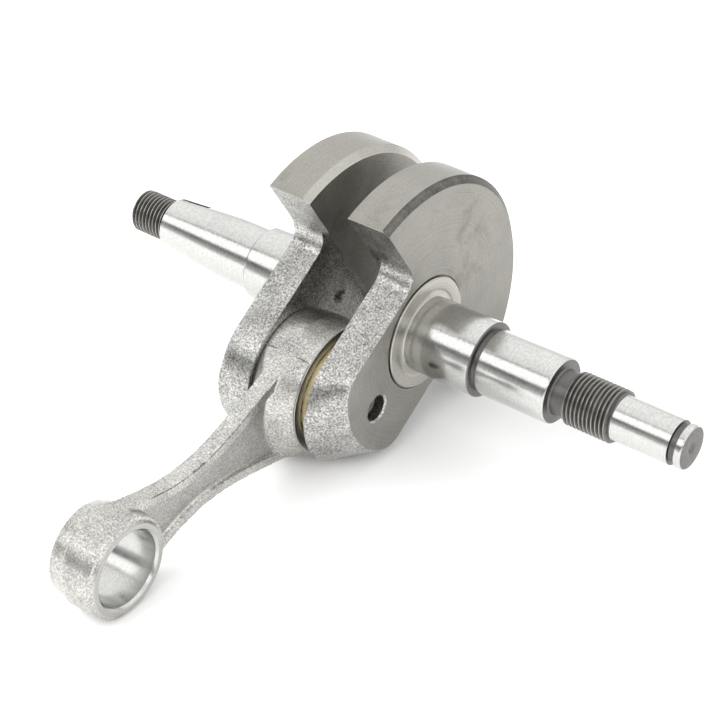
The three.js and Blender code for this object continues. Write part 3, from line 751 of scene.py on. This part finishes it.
class CRANKSHAFT_OT_crankpin(bpy.types.Operator):
    """Builds the hollow crankpin that joins the halves"""

    bl_idname = "crankshaft.crankpin"
    bl_label = "Crankpin"

    def execute(self, context):
        settings = context.scene.crankshaft
        radius = settings.bearing.pin_radius / MM
        crank_radius = settings.crank.crank_radius / MM
        low, high, bore = *PIN_ENDS, PIN_BORE
        outline = [(low, bore + 0.3), (low, radius - 0.4), (low + 0.4, radius),
                   (high - 0.4, radius), (high, radius - 0.4), (high, bore + 0.3),
                   (high - 0.3, bore), (low + 0.3, bore), (low, bore + 0.3)]
        bm = turned_body(outline, settings.crank.steps, 0, 0.06, centre=(0, -crank_radius, 0))
        kit = finishes(settings)
        for face in bm.faces:
            face.material_index = abs(face.normal.x) > 0.5
        pin = finished(bm, "crankpin_ground", crank_frame, [kit["lapped"], kit["dark_and_shade"]])
        fit(pin, "crank", "hardened_steel", "crankpin")
        return {"FINISHED"}


BAND_SPAN = (-2.1, 5.2)  # flash band round the small end, along X
BAND_RADII = (9.9, 11.35)
SHANK_START = -17.5
SKIN_BEHIND_RINGS = 0.22
POCKET_FLOOR = 1.6
EYE_RADII = (14.7, 10.3)  # of the machined faces at the big and small ends


class CRANKSHAFT_OT_rod(bpy.types.Operator):
    """Builds the forged connecting rod with its two eyes and its I-shaped shank"""

    bl_idname = "crankshaft.rod"
    bl_label = "Connecting rod"

    def execute(self, context):
        settings = context.scene.crankshaft
        s = settings.rod
        half = s.width / MM / 2
        centres = s.centres / MM
        big, small = s.big_bore / MM, s.small_bore / MM
        bm = copied("connecting_rod", rod_frame)
        low, high = BAND_SPAN
        inner, outer = BAND_RADII
        band = [(low, inner), (low, outer), (high, outer), (high, inner), (low, inner)]
        add_body(bm, turned_body(band, 96, 0, 0, centre=(0, -centres, 0)))
        forged_skin(bm, 0.3, 1)
        flash = bm.verts.layers.float.new("flash")
        bm.normal_update()
        for vert in bm.verts:
            on_shank = 13 - centres < vert.co.y < SHANK_START
            outward = vert.normal.z * math.copysign(1, vert.co.z)
            if on_shank and outward > 0.3 and 0.2 < abs(vert.normal.x) < 0.95:
                vert[flash] = 1
        open_bore(bm, 0, big + 1.3)
        open_bore(bm, -centres, small + 1)
        limit = half - SKIN_BEHIND_RINGS
        for vert in bm.verts:
            vert.co.x = max(-limit, min(limit, vert.co.x))
        # Pocket floor faces take the darker pocket finish: painted shade in the recess.
        for face in bm.faces:
            middle = face.calc_center_median()
            floor = abs(face.normal.x) > 0.8 and abs(middle.x) < POCKET_FLOOR
            face.material_index = 3 if floor and middle.y > 8 - centres else 0

        for centre, bore, outer, chamfer in (
            (0, big, EYE_RADII[0], 0.6), (-centres, small, EYE_RADII[1], 0.55),
        ):
            ring = [
                (-half + chamfer, bore), (-half, bore + chamfer), (-half, outer - 0.15),
                (-half + 0.15, outer), (0, outer + 0.4), (half - 0.15, outer),
                (half, outer - 0.15), (half, bore + chamfer), (half - chamfer, bore),
                (-half + chamfer, bore),
            ]

            def choose(face, inner=bore + 0.3, centre=centre):
                middle = face.calc_center_median()
                reach = math.hypot(middle.y - centre, middle.z)
                return 2 if reach < inner else 1

            add_body(bm, turned_body(ring, 144, 1, 0.06, centre=(0, centre, 0),
                                     finish_at=choose))
        kit = finishes(settings)
        rod = finished(bm, "rod_forging", rod_frame, [
            kit["rod"], kit["faced"], kit["honed"], kit["pocket"]])
        fit(rod, "rod", "rod_steel", "connecting_rod")
        return {"FINISHED"}


class CRANKSHAFT_OT_bearing(bpy.types.Operator):
    """Builds the big-end cage and its needles"""

    bl_idname = "crankshaft.bearing"
    bl_label = "Big-end bearing"

    def execute(self, context):
        settings = context.scene.crankshaft
        s = settings.bearing
        kit = finishes(settings)
        bm = copied("big_end_needle_cage", bearing_frame)
        break_edges(bm, sharp_edges(bm, math.radians(40)), 0.08, 1)
        cage = finished(bm, "needle_cage", bearing_frame, [kit["plated"]])
        fit(cage, "cage", "plated_cage", "big_end_needle_cage")
        radius, half = s.needle_radius / MM, s.needle_length / MM / 2
        pitch = s.pin_radius / MM + 1.5
        for i in range(s.needles):
            name = f"{i + 1:02d}"
            angle = FULL_TURN * i / s.needles
            centre = (0, pitch * math.cos(angle), pitch * math.sin(angle))
            outline = [(-half, 0), (-half, radius - 0.35), (-half + 0.12, radius - 0.12),
                       (-half + 0.4, radius), (half - 0.4, radius),
                       (half - 0.12, radius - 0.12), (half, radius - 0.35), (half, 0)]
            bm = turned_body(outline, 32, 0, 0, centre=centre)
            needle = finished(bm, f"needle_{name}_lapped", bearing_frame, [kit["lapped"]])
            fit(needle, f"needle_{name}", "hardened_steel", f"needle_roller_{name}")
        return {"FINISHED"}


# Brightness of the studio by the angle round the shaft's axis, as a share of half a turn
# from the front horizon over the top to the back one: a dark wall, the lit front panel, a
# thin gap, and the pale ceiling and back. The ends of the ramp come first.
STUDIO_BANDS = [
    (0.0, 0.38), (1.0, 0.45), (0.06, 0.27), (0.1, 0.12), (0.13, 0.04), (0.152, 0.04),
    (0.166, 1.0), (0.335, 1.0), (0.343, 0.04), (0.361, 0.04), (0.374, 0.62),
    (0.6, 0.72), (0.85, 0.7),
]
BACKDROP = (0.49, 0.49, 0.49, 1)
SOFTBOXES = (  # name, place in metres, size in metres, watts
    ("softbox_left", (-0.8, -0.35, 0.8), (0.7, 0.7), 9),
    ("softbox_front", (0.1, -0.9, 0.9), (1.2, 0.8), 5),
)
LIGHT_TARGET = Vector((0, 0, 0.03))
FOCAL_LENGTH = 121.5
CAMERA_PLACE = Vector((255.27, -317.17, 329.90)) * MM
CAMERA_TURN = (math.radians(90 - 36.07), 0, math.radians(37.44))


class CRANKSHAFT_OT_stage(bpy.types.Operator):
    """Lays the pale floor and sets the studio lights and the camera"""

    bl_idname = "crankshaft.stage"
    bl_label = "Studio stage"

    def execute(self, context):
        settings = context.scene.crankshaft
        scene = context.scene
        bm = bmesh.new()
        bmesh.ops.create_grid(bm, x_segments=8, y_segments=8, size=4)
        paper = bpy.data.materials.new("matt white paper")
        paper.use_nodes = True
        tree = paper.node_tree
        tree.nodes.clear()
        place = node(tree, "ShaderNodeTexCoord").outputs["Object"]
        fibre = node(tree, "ShaderNodeTexNoise", {"Vector": place, "Scale": 60, "Detail": 4})
        tone = node(tree, "ShaderNodeValToRGB", {"Fac": fibre.outputs["Fac"]}, stops=[
            (0.3, scaled(settings.finish.floor, 0.985)), (0.7, settings.finish.floor)])
        surface = node(tree, "ShaderNodeBsdfPrincipled", {
            "Base Color": tone.outputs["Color"], "Roughness": 0.75})
        node(tree, "ShaderNodeOutputMaterial", {"Surface": surface.outputs["BSDF"]})
        floor = finished(bm, "studio_floor", Matrix.Identity(4), [paper])

        world = bpy.data.worlds.new("pale studio")
        scene.world = world
        world.use_nodes = True
        tree = world.node_tree
        tree.nodes.clear()
        looks = node(tree, "ShaderNodeTexCoord").outputs["Generated"]
        parts = node(tree, "ShaderNodeSeparateXYZ", {"Vector": looks})
        front = node(tree, "ShaderNodeMath", {
            0: parts.outputs["Y"], 1: -1}, operation="MULTIPLY").outputs[0]
        turn_up = node(tree, "ShaderNodeMath", {
            0: parts.outputs["Z"], 1: front}, operation="ARCTAN2").outputs[0]
        share = node(tree, "ShaderNodeMath", {
            0: turn_up, 1: math.pi}, operation="DIVIDE").outputs[0]
        sky = node(tree, "ShaderNodeValToRGB", {"Fac": share}, stops=STUDIO_BANDS)
        seen = node(tree, "ShaderNodeLightPath").outputs["Is Camera Ray"]
        shown = node(tree, "ShaderNodeMixRGB", {
            "Fac": seen, "Color1": sky.outputs["Color"], "Color2": BACKDROP})
        glow = node(tree, "ShaderNodeBackground", {
            "Color": shown.outputs["Color"], "Strength": 2})
        node(tree, "ShaderNodeOutputWorld", {"Surface": glow.outputs["Background"]})

        for name, place, size, energy in SOFTBOXES:
            lamp = bpy.data.lights.new(name, "AREA")
            lamp.shape = "RECTANGLE"
            lamp.size, lamp.size_y = size
            lamp.energy = energy
            thing = bpy.data.objects.new(name, lamp)
            thing.location = place
            aim = LIGHT_TARGET - Vector(place)
            thing.rotation_euler = aim.to_track_quat("-Z", "Y").to_euler()
            thing.visible_glossy = False
            scene.collection.objects.link(thing)

        lens = bpy.data.cameras.new("camera")
        lens.lens = FOCAL_LENGTH
        lens.sensor_width = 36
        lens.clip_start = 0.01
        camera = bpy.data.objects.new("camera", lens)
        camera.location = CAMERA_PLACE
        camera.rotation_euler = CAMERA_TURN
        scene.collection.objects.link(camera)
        scene.camera = camera
        scene.view_settings.view_transform = "Standard"
        return {"FINISHED"}


class CRANKSHAFT_PT_panel(bpy.types.Panel):
    """Lists the builders and their sizes in the sidebar"""

    bl_idname = "CRANKSHAFT_PT_panel"
    bl_label = "Crankshaft"
    bl_space_type = "VIEW_3D"
    bl_region_type = "UI"
    bl_category = "Crankshaft"

    def draw(self, context):
        settings = context.scene.crankshaft
        for operator in OPERATORS:
            self.layout.operator(operator.bl_idname)
        for group in (settings.crank, settings.rod, settings.bearing, settings.finish):
            box = self.layout.box()
            for name in group.__annotations__:
                box.prop(group, name)


OPERATORS = (
    CRANKSHAFT_OT_clutch_half,
    CRANKSHAFT_OT_flywheel_half,
    CRANKSHAFT_OT_crankpin,
    CRANKSHAFT_OT_rod,
    CRANKSHAFT_OT_bearing,
    CRANKSHAFT_OT_stage,
)
GROUPS = (CrankSizes, RodSizes, BearingSizes, FinishColours, CrankshaftSettings)


def register():
    for item in (*GROUPS, *OPERATORS, CRANKSHAFT_PT_panel):
        bpy.utils.register_class(item)
    bpy.types.Scene.crankshaft = PointerProperty(type=CrankshaftSettings)


def unregister():
    del bpy.types.Scene.crankshaft
    for item in reversed((*GROUPS, *OPERATORS, CRANKSHAFT_PT_panel)):
        bpy.utils.unregister_class(item)


def main():
    register()
    bpy.ops.crankshaft.clutch_half()
    bpy.ops.crankshaft.flywheel_half()
    bpy.ops.crankshaft.crankpin()
    bpy.ops.crankshaft.rod()
    bpy.ops.crankshaft.bearing()
    bpy.ops.crankshaft.stage()


if __name__ == "__main__":
    main()
